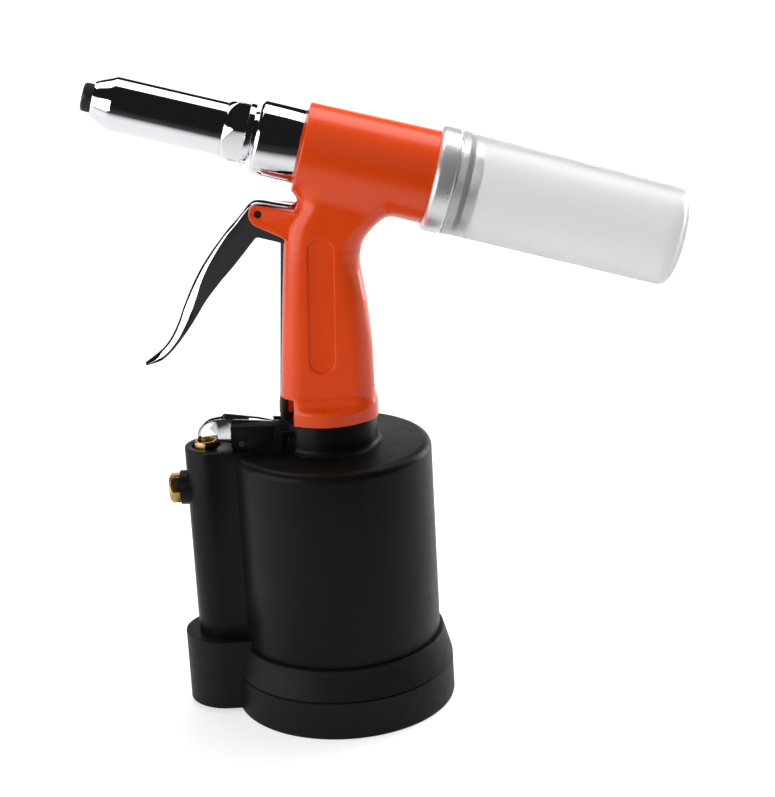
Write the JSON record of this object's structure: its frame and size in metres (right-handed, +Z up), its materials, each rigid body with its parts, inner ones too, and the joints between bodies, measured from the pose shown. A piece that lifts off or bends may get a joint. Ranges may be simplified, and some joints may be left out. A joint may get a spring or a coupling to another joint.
{
  "type": "pneumatic rivet gun",
  "caption": "Pistol-shaped air-over-oil rivet gun: chrome nose, orange barrel and grip, clear mandrel bottle, black air cylinder with valve block and rubber foot",
  "frame": {"origin": "Centre of the rubber boot's flat underside, where the gun stands.", "axes": "+Z up along the air cylinder; -X towards the nose; the XZ plane is the plane of symmetry; +Y is the tool's right side seen from behind, the far side in the reference view."},
  "size_m": [0.301, 0.1166, 0.3394],
  "materials": {
    "orange_casting": "gloss paint",
    "black_casting": "satin",
    "plated_steel": "polished",
    "blackened_steel": "satin",
    "steel": "satin",
    "tool_steel": "satin",
    "spring_steel": "satin",
    "turned_aluminium": "satin",
    "brass": "satin",
    "screen_steel": "satin",
    "boot_rubber": "matte",
    "seal_rubber": "matte",
    "bottle_plastic": "frosted"
  },
  "bodies": {
    "gun_body": {"nosepiece": "blackened_steel", "nose_sleeve": "plated_steel", "barrel_head": "plated_steel", "pull_rod_seal": "seal_rubber", "head_seal": "seal_rubber", "return_spring": "spring_steel", "mandrel_tube": "brass", "rear_cap": "turned_aluminium", "rear_cap_seal": "seal_rubber", "bottle_ring": "seal_rubber", "handle_housing": "orange_casting", "oil_plug_washer": "seal_rubber", "oil_plug": "blackened_steel", "trigger_pin": "blackened_steel", "lever_pin": "blackened_steel", "cylinder_body": "black_casting", "exhaust_silencer": "brass", "lock_screw": "blackened_steel", "cylinder_cover": "turned_aluminium", "cover_seal": "seal_rubber", "retaining_ring": "blackened_steel", "bumper": "seal_rubber", "ram_bush": "brass", "ram_seal": "seal_rubber", "bush_seal": "seal_rubber", "rubber_boot": "boot_rubber", "valve_guide": "brass", "valve_sleeve": "brass", "valve_sleeve_seals": "seal_rubber", "valve_spring": "spring_steel", "valve_plug": "brass", "valve_plug_seal": "seal_rubber", "air_inlet": "brass", "inlet_screen": "screen_steel"},
    "trigger": {"trigger": "plated_steel", "link_pin": "steel"},
    "trigger_rod": {"trigger_rod": "steel"},
    "lever": {"lever": "plated_steel"},
    "valve_stem": {"valve_stem": "brass", "stem_seals": "seal_rubber"},
    "air_piston": {"air_piston": "turned_aluminium", "air_piston_seal": "seal_rubber", "ram": "steel", "ram_nut": "steel"},
    "pull_piston": {"pull_piston": "steel", "pull_piston_seal": "seal_rubber", "jaw_case": "steel", "jaw_spring": "spring_steel"},
    "jaw_1": {"jaw_1": "tool_steel"},
    "jaw_2": {"jaw_2": "tool_steel"},
    "jaw_3": {"jaw_3": "tool_steel"},
    "jaw_pusher": {"jaw_pusher": "steel"},
    "bottle": {"mandrel_bottle": "bottle_plastic"}
  },
  "joints": [
    {"name": "trigger_pull", "type": "hinge", "parent": "gun_body", "child": "trigger", "pos_m": [-0.0294, 0, 0.2685], "axis": [0, -1, 0], "range_deg": [0, 14], "stiffness_Nm_per_rad": 1.5, "springref_deg": -17.19},
    {"name": "rod_slide", "type": "slide", "parent": "gun_body", "child": "trigger_rod", "axis": [0.0671, 0, 0.9977], "range_m": [0, 0.00336]},
    {"name": "lever_rock", "type": "hinge", "parent": "gun_body", "child": "lever", "pos_m": [-0.046, 0, 0.1486], "axis": [0, -1, 0], "range_deg": [0, 8.02]},
    {"name": "valve_stem_slide", "type": "slide", "parent": "gun_body", "child": "valve_stem", "axis": [0, 0, -1], "range_m": [0, 0.00307], "deforming": ["valve_spring"]},
    {"name": "air_piston_slide", "type": "slide", "parent": "gun_body", "child": "air_piston", "axis": [0, 0, 1], "range_m": [0, 0.076]},
    {"name": "pull_piston_slide", "type": "slide", "parent": "gun_body", "child": "pull_piston", "axis": [0.9593, 0, -0.2823], "range_m": [0, 0.02], "stiffness_N_per_m": 1500, "springref_m": -0.004, "deforming": ["return_spring"]},
    {"name": "jaw_1_slide", "type": "slide", "parent": "pull_piston", "child": "jaw_1", "axis": [-0.8766, 0, 0.4812], "range_m": [0, 0.00205]},
    {"name": "jaw_2_slide", "type": "slide", "parent": "pull_piston", "child": "jaw_2", "axis": [-0.9673, -0.1854, 0.1731], "range_m": [0, 0.00205]},
    {"name": "jaw_3_slide", "type": "slide", "parent": "pull_piston", "child": "jaw_3", "axis": [-0.9673, 0.1854, 0.1731], "range_m": [0, 0.00205]},
    {"name": "jaw_pusher_slide", "type": "slide", "parent": "pull_piston", "child": "jaw_pusher", "axis": [-0.9593, 0, 0.2823], "range_m": [0, 0.002], "deforming": ["jaw_spring"]},
    {"name": "bottle_pull", "type": "slide", "parent": "gun_body", "child": "bottle", "axis": [0.9542, 0, -0.299], "range_m": [0, 0.035]}
  ],
  "couplings": [
    {"joint": "rod_slide", "follows": "trigger_pull", "m_per_rad": 0.0136},
    {"joint": "lever_rock", "follows": "trigger_pull", "ratio": 0.5714},
    {"joint": "valve_stem_slide", "follows": "trigger_pull", "m_per_rad": 0.01248},
    {"joint": "pull_piston_slide", "follows": "air_piston_slide", "ratio": 0.263},
    {"joint": "jaw_2_slide", "follows": "jaw_1_slide", "ratio": 1},
    {"joint": "jaw_3_slide", "follows": "jaw_1_slide", "ratio": 1},
    {"joint": "jaw_pusher_slide", "follows": "jaw_1_slide", "ratio": 0.9768}
  ]
}
